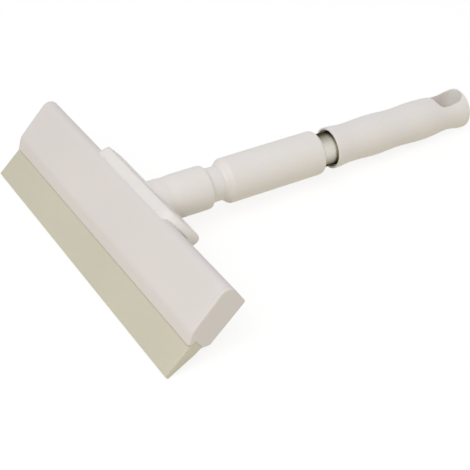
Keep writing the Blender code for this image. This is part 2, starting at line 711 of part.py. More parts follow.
def build_guide_bush(collection, frame, material):
    spigot = INNER_TUBE_BORE - CLEARANCE
    low = BUSH_START - BUSH_SPIGOT
    profile = [(0.0, BUSH_END), (TUBE_BORE_FIT - PLUG_CHAMFER, BUSH_END),
               (TUBE_BORE_FIT, BUSH_END - PLUG_CHAMFER), (TUBE_BORE_FIT, BUSH_START), (spigot, BUSH_START),
               (spigot, low + PLUG_CHAMFER), (spigot - PLUG_CHAMFER, low), (0.0, low)]
    return turned_object("guide_bush", profile, collection, frame, material)


def build_lock_collet(collection, cutters, frame, material):
    root_end = SOCKET_START - COLLET_WEB
    profile = [(TUBE_FIT, COLLET_END), (COLLET_RADIUS, COLLET_END), (COLLET_RADIUS, root_end),
               (COLLET_FINGER_ROOT, root_end), (COLLET_FINGER_TIP, COLLET_START), (INNER_FIT, COLLET_START),
               (INNER_FIT, SOCKET_START), (TUBE_FIT, SOCKET_START)]
    collet = turned_object("lock_collet", profile, collection, frame, material, closed=True)
    run = root_end - COLLET_START
    for name, turn in (("one", math.pi / 4), ("two", -math.pi / 4)):
        mesh = bpy.data.meshes.new("collet_split_" + name)
        shape = bmesh.new()
        bmesh.ops.create_cube(shape, size=1.0)
        size = Vector((COLLET_SPLIT, 2 * SLEEVE_RADIUS, run))
        bmesh.ops.scale(shape, vec=size, verts=shape.verts)
        shape.to_mesh(mesh)
        shape.free()
        split = add_object("collet_split_" + name, mesh, cutters, frame)
        split.location.z = COLLET_START - OVERRUN + run / 2
        split.rotation_euler.z = turn
        cut(collet, split)
    return collet


def build_twist_sleeve(collection, frame, material):
    edge = TUBE_FIT + CLEARANCE
    outer = [(edge, SLEEVE_END)]
    outer += quarter(edge, SLEEVE_END, SLEEVE_RADIUS, SLEEVE_END - SLEEVE_END_ROUND, ARC_STEPS, True)
    nose = SLEEVE_START + SLEEVE_NOSE_LENGTH
    outer.append((SLEEVE_RADIUS, nose))
    outer += quarter(SLEEVE_RADIUS, nose, SLEEVE_NOSE_RADIUS, SLEEVE_START, ARC_STEPS, False)
    inner = [(INNER_FIT, SLEEVE_START), (INNER_FIT, SLEEVE_CONE_START),
             (SLEEVE_CONE_RADIUS, SLEEVE_CONE_START), (SLEEVE_BORE, SLEEVE_CONE_START + SLEEVE_CONE_LENGTH),
             (SLEEVE_BORE, SLEEVE_LIP_START - SLEEVE_LIP_SLOPE), (TUBE_FIT, SLEEVE_LIP_START),
             (TUBE_FIT, SLEEVE_END - CLEARANCE)]
    return turned_object("twist_sleeve", outer + inner, collection, frame, material, closed=True)


def build_tube_stop(collection, frame, material):
    low = STOP_START - STOP_DEPTH
    profile = [(0.0, STOP_END), (TUBE_RADIUS, STOP_END), (TUBE_RADIUS, STOP_START),
               (TUBE_BORE_FIT, STOP_START), (TUBE_BORE_FIT, low + PLUG_CHAMFER),
               (TUBE_BORE_FIT - PLUG_CHAMFER, low), (0.0, low)]
    return turned_object("tube_stop", profile, collection, frame, material)


def build_grip(collection, cutters, frame, material):
    outer = grip_outline()[::-1]
    mouth = outer.pop()
    outer += [(mouth[0], GRIP_START + GRIP_MOUTH_ROUND), (mouth[0] - GRIP_MOUTH_ROUND, GRIP_START)]
    inner = [(GRIP_MOUTH_BORE, GRIP_START), (GRIP_MOUTH_BORE, GRIP_START + GRIP_MOUTH_DEPTH),
             (TUBE_FIT, GRIP_START + GRIP_MOUTH_DEPTH), (TUBE_FIT, GRIP_BORE_END), (0.0, GRIP_BORE_END)]
    grip = turned_object("grip", outer + inner, collection, frame, material)
    slot_outline = stadium(-SLOT_WIDTH / 2, SLOT_WIDTH / 2, SLOT_LENGTH / 2)
    slot_mesh = extruded_mesh("hanging_slot", [slot_outline], 2 * (GRIP_RADIUS + OVERRUN))
    slot = add_object("hanging_slot", slot_mesh, cutters, frame)
    slot.location.z = SLOT_START + SLOT_LENGTH / 2
    slot.rotation_euler = (math.pi / 2, math.pi / 2, 0.0)
    cut(grip, slot)
    return grip


def build():
    clear_scene()
    parts = new_collection("table_squeegee")
    cutters = new_collection("cutters")
    head_matrix, handle_matrix = frame_matrices()
    head = new_frame("head_frame", head_matrix, parts)
    handle = new_frame("handle_frame", handle_matrix, parts)

    white = new_material("white_plastic", (0.78, 0.76, 0.74), 0.42, 0.0)
    cream = new_material("cream_rubber", (0.72, 0.68, 0.54), 0.55, 0.0)
    steel = new_material("brushed_steel", (0.58, 0.57, 0.54), 0.30, 1.0)
    clear = new_material("natural_plastic", (0.70, 0.69, 0.65), 0.50, 0.0)

    build_head_body(parts, cutters, head, white)
    build_end_cap("end_cap_left", -1, parts, cutters, head, white)
    build_end_cap("end_cap_right", 1, parts, cutters, head, white)
    build_blade(parts, cutters, head, cream)
    build_saddle(parts, cutters, head, handle, white)
    build_saddle_screw("saddle_screw_left", -1, parts, cutters, head, steel)
    build_saddle_screw("saddle_screw_right", 1, parts, cutters, head, steel)
    build_handle_plug(parts, handle, white)
    build_tube("inner_tube", INNER_TUBE_BORE, INNER_TUBE_RADIUS, INNER_TUBE_START, INNER_TUBE_END,
               parts, handle, steel)
    build_guide_bush(parts, handle, clear)
    build_lock_collet(parts, cutters, handle, clear)
    build_twist_sleeve(parts, handle, white)
    build_tube("outer_tube", TUBE_BORE, TUBE_RADIUS, TUBE_START, TUBE_END, parts, handle, steel)
    build_tube_stop(parts, handle, clear)
    build_grip(parts, cutters, handle, white)


build()
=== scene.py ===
import bmesh
import bpy
import json
import math
from mathutils import Matrix, Vector


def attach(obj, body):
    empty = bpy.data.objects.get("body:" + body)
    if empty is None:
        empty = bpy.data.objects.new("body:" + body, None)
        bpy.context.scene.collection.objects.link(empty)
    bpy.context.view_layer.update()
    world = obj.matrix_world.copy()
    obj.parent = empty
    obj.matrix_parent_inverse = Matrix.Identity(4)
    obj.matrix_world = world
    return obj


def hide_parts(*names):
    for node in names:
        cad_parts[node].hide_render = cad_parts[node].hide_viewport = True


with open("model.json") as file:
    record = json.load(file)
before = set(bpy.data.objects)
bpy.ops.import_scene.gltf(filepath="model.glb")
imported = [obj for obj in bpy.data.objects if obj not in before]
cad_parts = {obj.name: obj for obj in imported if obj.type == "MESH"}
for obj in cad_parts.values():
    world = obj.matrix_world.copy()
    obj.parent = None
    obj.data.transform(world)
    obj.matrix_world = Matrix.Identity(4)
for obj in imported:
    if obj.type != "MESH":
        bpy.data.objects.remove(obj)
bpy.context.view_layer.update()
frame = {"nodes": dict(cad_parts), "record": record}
print("frame loaded:", len(frame["nodes"]), "nodes")

mm = 0.001
collection = bpy.context.scene.collection

# where the two leaning halves of the model stand, as in the CAD
headPlace = {"lean": 34.5758, "y": -144.795, "z": 1.070}
handlePlace = {"jointAlong": 60.0}


def headMatrix():
    lean = math.radians(headPlace["lean"])
    back = Vector((0, math.sin(lean), -math.cos(lean)))
    up = Vector((0, math.cos(lean), math.sin(lean)))
    turned = Matrix((back, up, back.cross(up))).transposed().to_4x4()
    return Matrix.Translation((0, headPlace["y"] * mm, headPlace["z"] * mm)) @ turned @ Matrix.Scale(mm, 4)


def handleMatrix():
    joints = {joint["name"]: joint for joint in frame["record"]["behaviour"]["joints"]}
    twist = joints["sleeve_twist"]
    along = Vector(twist["axis"]).normalized()
    side = Vector((1, 0, 0))
    turned = Matrix((side, along.cross(side), along)).transposed().to_4x4()
    start = Vector(twist["pos_m"]) - along * handlePlace["jointAlong"] * mm
    return Matrix.Translation(start) @ turned @ Matrix.Scale(mm, 4)


onHead = headMatrix()  # local x back, y up along the blade, z to the right, in millimetres
onHandle = handleMatrix()  # local z along the handle, y down, in millimetres


# helpers for node trees

def newGroup(name, inputs, outputs):
    group = bpy.data.node_groups.new(name, "ShaderNodeTree")
    kinds = {"float": "NodeSocketFloat", "colour": "NodeSocketColor", "vector": "NodeSocketVector"}
    for label, kind, default in inputs:
        socket = group.interface.new_socket(label, in_out="INPUT", socket_type=kinds[kind])
        socket.default_value = default
    for label, kind in outputs:
        group.interface.new_socket(label, in_out="OUTPUT", socket_type=kinds[kind])
    return group, group.nodes.new("NodeGroupInput").outputs, group.nodes.new("NodeGroupOutput").inputs


def feed(tree, socket, value):
    # a socket takes another node's output or a plain value
    if hasattr(value, "is_output"):
        tree.links.new(value, socket)
    else:
        socket.default_value = value


def addNode(tree, kind, inputs=None, **settings):
    node = tree.nodes.new(kind)
    for name, value in settings.items():
        setattr(node, name, value)
    for name, value in (inputs or {}).items():
        feed(tree, node.inputs[name], value)
    return node


def addMath(tree, operation, *values):
    node = addNode(tree, "ShaderNodeMath", operation=operation)
    for socket, value in zip(node.inputs, values):
        feed(tree, socket, value)
    return node.outputs[0]


def mixColour(tree, factor, first, second):
    node = addNode(tree, "ShaderNodeMix", data_type="RGBA")
    for name, value in (("Factor", factor), ("A", first), ("B", second)):
        feed(tree, next(item for item in node.inputs if item.name == name and item.enabled), value)
    return next(item for item in node.outputs if item.enabled)


def ramp(tree, source, low, high, toLow=0.0, toHigh=1.0):
    inputs = {"Value": source, "From Min": low, "From Max": high, "To Min": toLow, "To Max": toHigh}
    return addNode(tree, "ShaderNodeMapRange", inputs).outputs["Result"]


def noise(tree, vector, scale, detail, roughness):
    inputs = {"Vector": vector, "Scale": scale, "Detail": detail, "Roughness": roughness}
    return addNode(tree, "ShaderNodeTexNoise", inputs).outputs["Fac"]


def stretched(tree, vector, factors):
    node = addNode(tree, "ShaderNodeVectorMath", operation="MULTIPLY")
    feed(tree, node.inputs[0], vector)
    feed(tree, node.inputs[1], factors)
    return node.outputs["Vector"]


# a noise is its scale, detail and roughness, or the last two where the scale is given to the group;
# a range is where a mask starts and where it is full
mouldedLook = {
    "slow": (14.0, 3.0, 0.5), "slowRange": (0.35, 0.65), "rubbed": (60.0, 5.0, 0.65),
    "rubbedRange": (0.3, 0.7), "grain": (4.0, 0.6)}


def mouldedGroup():
    # slow tone drift, rubbed patches and the fine grain of a moulding tool
    look = mouldedLook
    group, given, made = newGroup(
        "mouldedSurface",
        [("Vector", "vector", (0, 0, 0)), ("Main", "colour", (1, 1, 1, 1)), ("Drift", "colour", (1, 1, 1, 1)),
         ("Grain Scale", "float", 900.0), ("Roughness", "float", 0.4), ("Rough Range", "float", 0.1)],
        [("Colour", "colour"), ("Roughness", "float"), ("Height", "float")])
    slow = noise(group, given["Vector"], *look["slow"])
    rubbed = noise(group, given["Vector"], *look["rubbed"])
    grain = noise(group, given["Vector"], given["Grain Scale"], *look["grain"])
    colour = mixColour(group, ramp(group, slow, *look["slowRange"]), given["Main"], given["Drift"])
    group.links.new(colour, made["Colour"])
    spread = ramp(group, rubbed, *look["rubbedRange"], -0.5, 0.5)
    rough = addMath(group, "MULTIPLY_ADD", spread, given["Rough Range"], given["Roughness"])
    group.links.new(rough, made["Roughness"])
    group.links.new(grain, made["Height"])
    return group


edgeLook = {"ridgeRange": (0.51, 0.58), "hollowRange": (0.49, 0.42)}


def edgeGroup():
    # edges are lighter on the ridges and darker in the hollows
    group, given, made = newGroup(
        "edgeTone",
        [("Colour", "colour", (1, 1, 1, 1)), ("Ridge", "colour", (1, 1, 1, 1)),
         ("Hollow", "colour", (1, 1, 1, 1)), ("Edge Amount", "float", 0.5)],
        [("Colour", "colour")])
    bend = addNode(group, "ShaderNodeNewGeometry").outputs["Pointiness"]
    ridge = addMath(group, "MULTIPLY", ramp(group, bend, *edgeLook["ridgeRange"]), given["Edge Amount"])
    hollow = addMath(group, "MULTIPLY", ramp(group, bend, *edgeLook["hollowRange"]), given["Edge Amount"])
    lifted = mixColour(group, ridge, given["Colour"], given["Ridge"])
    group.links.new(mixColour(group, hollow, lifted, given["Hollow"]), made["Colour"])
    return group


def partingGroup():
    # the hair line where the two halves of a mould met, in the plane y = 0
    group, given, made = newGroup(
        "partingLine", [("Vector", "vector", (0, 0, 0)), ("Width", "float", 0.0001)], [("Height", "float")])
    across = addNode(group, "ShaderNodeSeparateXYZ", {"Vector": given["Vector"]}).outputs["Y"]
    line = ramp(group, addMath(group, "ABSOLUTE", across), 0.0, given["Width"], 1.0, 0.0)
    group.links.new(line, made["Height"])
    return group


drawnAndReflectionLook = {
    "lines": (5.0, 0.7), "lineRange": (0.3, 0.7), "roughRange": (0.25, 0.75), "rings": (4.0, 0.7),
    "ringSqueeze": (0.02, 0.02, 1), "ringRange": (0.55, 0.75), "ringMost": 0.35, "bandRange": (1.0, -0.6)}


def drawnAndReflectionGroup():
    # fine lines along z, two broad lengthwise bands of painted dark reflection on opposite sides, and faint
    # worn rings round it
    look = drawnAndReflectionLook
    group, given, made = newGroup(
        "drawnMetal",
        [("Vector", "vector", (0, 0, 0)), ("Main", "colour", (1, 1, 1, 1)), ("Drift", "colour", (1, 1, 1, 1)),
         ("Worn", "colour", (1, 1, 1, 1)), ("Band", "colour", (1, 1, 1, 1)), ("Band Turn", "float", 0.0),
         ("Band Amount", "float", 0.0), ("Stretch", "vector", (1, 1, 1)), ("Line Scale", "float", 1500.0),
         ("Ring Scale", "float", 900.0), ("Rough Low", "float", 0.25), ("Rough High", "float", 0.4)],
        [("Colour", "colour"), ("Roughness", "float"), ("Height", "float")])
    pulled = stretched(group, given["Vector"], given["Stretch"])
    lines = noise(group, pulled, given["Line Scale"], *look["lines"])
    squeezed = stretched(group, given["Vector"], look["ringSqueeze"])
    rings = noise(group, squeezed, given["Ring Scale"], *look["rings"])
    tone = mixColour(group, ramp(group, lines, *look["lineRange"]), given["Main"], given["Drift"])
    worn = ramp(group, rings, *look["ringRange"], 0.0, look["ringMost"])
    tone = mixColour(group, worn, tone, given["Worn"])
    # painted reflection: the colour goes dark by the angle round the tube's axis
    place = addNode(group, "ShaderNodeSeparateXYZ", {"Vector": given["Vector"]}).outputs
    angle = addMath(group, "ARCTAN2", place["X"], addMath(group, "MULTIPLY", place["Y"], -1.0))
    angle = addMath(group, "SUBTRACT", angle, given["Band Turn"])
    wave = addMath(group, "COSINE", addMath(group, "MULTIPLY", angle, 2.0))  # two painted reflection bands, on opposite sides
    band = addMath(group, "MULTIPLY", ramp(group, wave, *look["bandRange"]), given["Band Amount"])
    group.links.new(mixColour(group, band, tone, given["Band"]), made["Colour"])
    rough = ramp(group, lines, *look["roughRange"], given["Rough Low"], given["Rough High"])
    group.links.new(rough, made["Roughness"])
    group.links.new(lines, made["Height"])
    return group


moulded = mouldedGroup()
edgeTone = edgeGroup()
partingLine = partingGroup()
drawnMetal = drawnAndReflectionGroup()


def placeGroup(tree, group, values, **links):
    # values go to the sockets of their names, such as grainScale to Grain Scale; links come before them
    node = addNode(tree, "ShaderNodeGroup", node_tree=group)
    for socket in node.inputs:
        key = socket.name[0].lower() + socket.name[1:].replace(" ", "")
        if key in links:
            feed(tree, socket, links[key])
        elif key in values:
            feed(tree, socket, (*values[key], 1) if socket.type == "RGBA" else values[key])
    return node.outputs


def newMaterial(name):
    material = bpy.data.materials.new(name)
    material.use_nodes = True
    return material, material.node_tree, material.node_tree.nodes["Principled BSDF"]


def handleCoordinates(tree, place):
    # object coordinates turned to stand on the handle's axis
    back = onHandle.normalized().inverted()
    inputs = {"Vector": place, "Location": back.translation, "Rotation": back.to_euler()}
    return addNode(tree, "ShaderNodeMapping", inputs).outputs["Vector"]


def bumped(tree, height, strength, depth, under=None):
    inputs = {"Height": height, "Strength": strength, "Distance": depth}
    if under is not None:
        inputs["Normal"] = under
    return addNode(tree, "ShaderNodeBump", inputs).outputs["Normal"]


def plasticMaterial(name, values):
    material, tree, shader = newMaterial(name)
    place = addNode(tree, "ShaderNodeTexCoord").outputs["Object"]
    surface = placeGroup(tree, moulded, values, vector=place)
    colour = placeGroup(tree, edgeTone, values, colour=surface["Colour"])["Colour"]
    if "endTone" in values:
        # the end faces, by the way they face, get a colour of painted shading; on the blade it is painted
        # light, lighter than the rest
        facing = addNode(tree, "ShaderNodeTexCoord").outputs["Normal"]
        across = addNode(tree, "ShaderNodeSeparateXYZ", {"Vector": facing}).outputs["X"]
        ends = ramp(tree, addMath(tree, "ABSOLUTE", across), *values["endFacing"])
        colour = mixColour(tree, ends, colour, (*values["endTone"], 1))
    tree.links.new(colour, shader.inputs["Base Color"])
    tree.links.new(surface["Roughness"], shader.inputs["Roughness"])
    normal = bumped(tree, surface["Height"], values["bump"], values["bumpDepth"])
    if "partingWidth" in values:
        line = placeGroup(tree, partingLine, {"width": values["partingWidth"]},
                          vector=handleCoordinates(tree, place))
        normal = bumped(tree, line["Height"], values["partingBump"], values["partingHeight"], normal)
    tree.links.new(normal, shader.inputs["Normal"])
    for label, key in (("Subsurface Weight", "subsurface"), ("Subsurface Radius", "subsurfaceRadius"),
                       ("Subsurface Scale", "subsurfaceScale"), ("Specular IOR Level", "specular")):
        shader.inputs[label].default_value = values[key]
    return material


headPlastic = {
    "main": (0.790, 0.752, 0.735), "drift": (0.772, 0.738, 0.722), "ridge": (0.84, 0.815, 0.80),
    "hollow": (0.60, 0.56, 0.48), "edgeAmount": 0.30, "grainScale": 1400.0, "roughness": 0.46,
    "roughRange": 0.10, "bump": 0.10, "bumpDepth": 0.00008, "subsurface": 0.0,
    "subsurfaceRadius": (1, 0.6, 0.4), "subsurfaceScale": 0.002, "specular": 0.42}
# the handle's plastic is the head's white plastic made lighter: painted light, for the frontal light that
# falls on the handle
handlePlastic = dict(
    headPlastic, main=(0.872, 0.846, 0.818), drift=(0.858, 0.830, 0.806), ridge=(0.89, 0.87, 0.85),
    grainScale=1100.0, roughness=0.42, roughRange=0.12, subsurface=0.2)
# the turned parts keep the handle's painted light
turnedPlastic = dict(handlePlastic, partingWidth=0.00016, partingBump=0.5, partingHeight=0.00006)
# the blade's end faces take a colour of painted light
creamRubber = {
    "main": (0.655, 0.635, 0.515), "drift": (0.638, 0.617, 0.497), "ridge": (0.70, 0.66, 0.54),
    "hollow": (0.46, 0.41, 0.25), "endTone": (0.69, 0.665, 0.56), "endFacing": (0.75, 0.97),
    "edgeAmount": 0.35, "grainScale": 700.0, "roughness": 0.52, "roughRange": 0.12, "bump": 0.12,
    "bumpDepth": 0.00008, "subsurface": 0.25, "subsurfaceRadius": (1.0, 0.9, 0.5),
    "subsurfaceScale": 0.003, "specular": 0.35}
naturalPlastic = dict(
    headPlastic, main=(0.66, 0.65, 0.60), drift=(0.62, 0.61, 0.56), ridge=(0.74, 0.73, 0.69),
    hollow=(0.45, 0.43, 0.38), edgeAmount=0.4, grainScale=1000.0, roughness=0.5, roughRange=0.12)

headPlasticMaterial = plasticMaterial("headPlastic", headPlastic)
handlePlasticWithPaintedLightMaterial = plasticMaterial("handlePlastic", handlePlastic)
turnedPlasticMaterial = plasticMaterial("turnedPlastic", turnedPlastic)
rubberMaterial = plasticMaterial("creamRubber", creamRubber)
naturalMaterial = plasticMaterial("naturalPlastic", naturalPlastic)


def metalMaterial(name, values):
    material, tree, shader = newMaterial(name)
    place = addNode(tree, "ShaderNodeTexCoord").outputs["Object"]
    surface = placeGroup(tree, drawnMetal, values, vector=handleCoordinates(tree, place),
                         bandTurn=math.radians(values["bandTurn"]))
    tree.links.new(surface["Colour"], shader.inputs["Base Color"])
    tree.links.new(surface["Roughness"], shader.inputs["Roughness"])
    normal = bumped(tree, surface["Height"], values["bump"], values["bumpDepth"])
    tree.links.new(normal, shader.inputs["Normal"])
    shader.inputs["Metallic"].default_value = 1.0
    shader.inputs["Specular Tint"].default_value = (*values["rim"], 1)
    return material


# the dark band colour is a painted reflection on the tube, laid in two lengthwise bands
tubeSteel = {
    "main": (0.75, 0.735, 0.65), "drift": (0.64, 0.62, 0.54), "worn": (0.78, 0.765, 0.69),
    "band": (0.11, 0.10, 0.075), "bandTurn": 60.0, "bandAmount": 1.0, "rim": (0.30, 0.27, 0.21),
    "stretch": (1, 1, 0.03), "lineScale": 1500.0, "ringScale": 900.0, "roughLow": 0.24, "roughHigh": 0.38,
    "bump": 0.12, "bumpDepth": 0.00006}
screwSteel = dict(
    tubeSteel, main=(0.61, 0.595, 0.53), drift=(0.52, 0.505, 0.45), bandAmount=0.0, stretch=(1, 1, 1),
    lineScale=900.0, roughLow=0.3, roughHigh=0.45)
tubeMaterial = metalMaterial("drawnTube", tubeSteel)
screwMaterial = metalMaterial("screwSteel", screwSteel)
print("materials made")


# helpers for shapes, whose numbers are millimetres

samePlace = 1e-3  # nearer than this, two places are one
weldGap = 1e-4  # and nearer than this, two points are merged
cutPast = 5.0  # how far a cutting shape stands out of what it cuts
unsplit = 100.0  # a spacing so wide that no edge gets more points


def sectionFace(corners, spacing=2.5, segments=10):
    # one flat face; each corner is (back, up, radius)
    shape = bmesh.new()
    points = [Vector((back, up, 0)) for back, up, radius in corners]
    shape.faces.new([shape.verts.new(point) for point in points])
    for index, (back, up, radius) in enumerate(corners):
        if radius:
            here = points[index]
            sides = (points[index - 1] - here, points[(index + 1) % len(points)] - here)
            reach = radius / math.tan(sides[0].angle(sides[1]) / 2)
            corner = [vert for vert in shape.verts if (vert.co - here).length < weldGap]
            bmesh.ops.bevel(shape, geom=corner, offset=reach, offset_type="OFFSET", segments=segments,
                            profile=0.5, affect="VERTICES", material=-1)
    splitLong(shape, list(shape.edges), spacing)
    return shape


def splitLong(shape, edges, spacing):
    # long edges get more points, so that edge tones fade near the corners
    for edge in edges:
        cuts = round(edge.calc_length() / spacing) - 1
        if cuts > 0:
            bmesh.ops.subdivide_edges(shape, edges=[edge], cuts=cuts)


def pullLong(shape, low, high, cuts=0):
    # draws the flat face out from low to high along local z
    bmesh.ops.translate(shape, verts=shape.verts, vec=(0, 0, low))
    drawn = bmesh.ops.extrude_face_region(shape, geom=list(shape.faces))
    moved = [item for item in drawn["geom"] if isinstance(item, bmesh.types.BMVert)]
    bmesh.ops.translate(shape, verts=moved, vec=(0, 0, high - low))
    if cuts:
        sides = [edge for edge in shape.edges if abs(edge.verts[0].co.z - edge.verts[1].co.z) > samePlace]
        bmesh.ops.subdivide_edges(shape, edges=sides, cuts=cuts)
    bmesh.ops.recalc_face_normals(shape, faces=shape.faces)


def prism(corners, low, high):
    shape = sectionFace(corners, unsplit)
    pullLong(shape, low, high)
    return shape


def turnedShape(profile, steps=128, spacing=3.0, closed=True):
    # profile is (radius, along) pairs, spun round local z
    shape = bmesh.new()
    points = [shape.verts.new((radius, 0, along)) for radius, along in profile]
    edges = [shape.edges.new(pair) for pair in zip(points, points[1:])]
    if closed and profile[0][0] > 0:
        edges.append(shape.edges.new((points[-1], points[0])))
    splitLong(shape, edges, spacing)
    bmesh.ops.spin(shape, geom=list(shape.verts) + list(shape.edges), cent=(0, 0, 0), axis=(0, 0, 1),
                   dvec=(0, 0, 0), angle=math.tau, steps=steps, use_merge=True)
    bmesh.ops.remove_doubles(shape, verts=shape.verts, dist=weldGap)
    bmesh.ops.dissolve_degenerate(shape, edges=shape.edges, dist=weldGap / 10)
    bmesh.ops.recalc_face_normals(shape, faces=shape.faces)
    return shape


def between(fromPoint, toPoint, across, forward):
    return (fromPoint[0] + (toPoint[0] - fromPoint[0]) * across,
            fromPoint[1] + (toPoint[1] - fromPoint[1]) * forward)


def arc(fromPoint, toPoint, outwardFirst, steps=8):
    # a quarter ellipse between two profile points, without its first point
    points = []
    for step in range(1, steps + 1):
        angle = math.pi / 2 * step / steps
        across, forward = 1 - math.cos(angle), math.sin(angle)
        if outwardFirst:
            across, forward = forward, across
        points.append(between(fromPoint, toPoint, across, forward))
    return points


def swell(fromPoint, toPoint, steps=14):
    # a smooth rise between two profile points, without its first point
    points = []
    for step in range(1, steps + 1):
        rise = 0.5 - 0.5 * math.cos(math.pi * step / steps)
        points.append(between(fromPoint, toPoint, rise, step / steps))
    return points


def holdShape(shape, name="working"):
    mesh = bpy.data.meshes.new(name)
    shape.to_mesh(mesh)
    shape.free()
    holder = bpy.data.objects.new(name, mesh)
    collection.objects.link(holder)
    return holder


def applied(holder, *spare):
    # the shape with its modifiers applied; the working objects go
    bpy.context.view_layer.update()
    mesh = bpy.data.meshes.new_from_object(holder.evaluated_get(bpy.context.evaluated_depsgraph_get()))
    shape = bmesh.new()
    shape.from_mesh(mesh)
    for item in (holder, *spare):
        bpy.data.objects.remove(item, do_unlink=True)
    bpy.data.meshes.remove(mesh)
    return shape


def combined(shape, tool, operation="DIFFERENCE"):
    # an exact boolean of two closed shapes, which uses both up
    holder, other = holdShape(shape), holdShape(tool)
    work = holder.modifiers.new("combine", "BOOLEAN")
    work.operation = operation
    work.solver = "EXACT"
    work.object = other
    return applied(holder, other)


def softened(shape, voxel, passes):
    # remeshes a hard edged solid finely and relaxes it, which leaves small moulded radii
    holder = holdShape(shape)
    remesh = holder.modifiers.new("remesh", "REMESH")
    remesh.mode = "VOXEL"
    remesh.voxel_size = voxel
    smooth = holder.modifiers.new("smooth", "SMOOTH")
    smooth.factor = 0.5
    smooth.iterations = passes
    return applied(holder)


def mergedCopy(node, gap=2e-6, flatAngle=0.5):
    # a CAD node's mesh, in metres, with its loose triangles joined
    shape = bmesh.new()
    shape.from_mesh(frame["nodes"][node].data)
    bmesh.ops.remove_doubles(shape, verts=shape.verts, dist=gap)
    bmesh.ops.dissolve_limit(shape, angle_limit=math.radians(flatAngle), verts=shape.verts, edges=shape.edges)
    return shape


def relax(shape, verts, passes):
    for step in range(passes):
        bmesh.ops.smooth_vert(shape, verts=verts, factor=0.5, use_axis_x=True, use_axis_y=True,
                              use_axis_z=True)


def finishPiece(name, shape, place, body, node, material, sharp=38):
    # place goes into the mesh, so the object itself stays at the origin
    shape.transform(place)
    piece = holdShape(shape, name)
    piece.data.materials.append(material)
    piece.data.shade_smooth()
    piece.data.set_sharp_from_angle(angle=math.radians(sharp))
    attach(piece, body)
    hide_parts(node)


# the head's holder and its end caps; corners are (back, up, radius)
head = {
    "outline": [(4.35, 23.8, 0.3), (7.5, 28.1, 1.0), (3.899, 58.3, 1.5), (-15.242, 59.806, 6.0),
                (-9.844, 27.2, 7.0), (-4.85, 20.6, 0.3)],
    "mouth": [(-3.75, 20.6, 0), (-3.75, 26.9, 0), (-5.3, 26.9, 0), (-5.3, 31.0, 0),
              (5.3, 31.0, 0), (5.3, 26.9, 0), (3.75, 26.9, 0), (3.75, 23.8, 0)],
    "notch": [(-3.55, 10.0, 0), (-3.55, 25.0, 0), (3.55, 25.0, 0), (3.55, 10.0, 0)],
    "cells": [[(4.652, 33.4, 1.2), (3.877, 39.9, 1.2), (-9.717, 39.9, 1.2), (-8.640, 33.4, 1.2)],
              [(3.138, 46.1, 1.2), (1.928, 56.25, 1.2), (-12.612, 57.39, 1.2), (-10.743, 46.1, 1.2)]],
    "halfLength": 115.0, "cuts": 44, "capThickness": 2.6, "gap": 0.3, "seam": 0.02, "capEdge": 1.2,
    "capBorder": 1.0, "leastRound": 0.15, "tongue": 5.0, "screwHole": 1.8, "holeTop": 3.0}

screw = {
    "back": 5.723, "up": 43.0, "lean": 6.8, "spacing": 56.0, "seat": 3.64, "headHeight": 1.8,
    "headRadius": 3.0, "shank": 1.5, "length": 8.5, "recessSpan": 3.6, "recessWidth": 0.7,
    "recessDepth": 0.9, "recessRound": 0.2}


def screwPlace(side):
    # on the head's back face, with local z pointing out of it
    lean = math.radians(screw["lean"])
    out = Vector((math.cos(lean), math.sin(lean), 0))
    across = Vector((0, 0, 1))
    turned = Matrix((across, out.cross(across), out)).transposed().to_4x4()
    return Matrix.Translation((screw["back"], screw["up"], side * screw["spacing"] / 2)) @ turned


def makeHolder():
    half = head["halfLength"] - head["capThickness"] - head["seam"]
    shape = sectionFace(head["outline"] + head["mouth"])
    pullLong(shape, -half, half, head["cuts"])
    for cell in head["cells"]:
        shape = combined(shape, prism(cell, -half - cutPast, half + cutPast))
    radius, top, floor = head["screwHole"], head["holeTop"], -screw["length"] - head["gap"]
    for side in (-1, 1):
        hole = turnedShape([(0, top), (radius, top), (radius, floor), (0, floor)], steps=32, spacing=20.0)
        hole.transform(screwPlace(side))
        shape = combined(shape, hole)
    finishPiece("holder", shape, onHead, "head", "head_body", headPlasticMaterial)


def insetRing(corners, inset, segments=10):
    # the outline's points, moved inwards by inset, with its corners rounded
    points = [Vector((back, up, 0)) for back, up, radius in corners]
    ring = []
    for index, (back, up, radius) in enumerate(corners):
        before = (points[index] - points[index - 1]).normalized()
        after = (points[(index + 1) % len(points)] - points[index]).normalized()
        inward = Vector((-before.y - after.y, before.x + after.x, 0)) / (1 + before.dot(after))
        rounding = max(radius - inset, head["leastRound"])
        centre = points[index] + inward * (inset + rounding)
        for step in range(segments + 1):
            turn = Matrix.Rotation(before.angle(after) * step / segments, 3, "Z")
            ring.append(centre + turn @ Vector((before.y, -before.x, 0)) * rounding)
    return ring


def roundedPlate(corners, inside, outside, rim, border, segments=7):
    # a plate whose outer rim is rounded, with a narrow border on the face inside the rim;
    # ring by ring, since a bevel this wide would cross itself at the small corners
    side = 1 if outside > inside else -1
    rings = [(0, inside), (0, outside - side * rim)]
    for step in range(1, segments + 1):
        angle = math.pi / 2 * step / segments
        rings.append((rim * (1 - math.cos(angle)), outside - side * rim * (1 - math.sin(angle))))
    rings.append((rim + border, outside))
    shape = bmesh.new()
    loops = []
    for inset, place in rings:
        loops.append([shape.verts.new((point.x, point.y, place)) for point in insetRing(corners, inset)])
    for lower, upper in zip(loops, loops[1:]):
        for index in range(len(lower)):
            shape.faces.new((lower[index - 1], lower[index], upper[index], upper[index - 1]))
    shape.faces.new(loops[0])
    shape.faces.new(loops[-1])
    bmesh.ops.recalc_face_normals(shape, faces=shape.faces)
    return shape


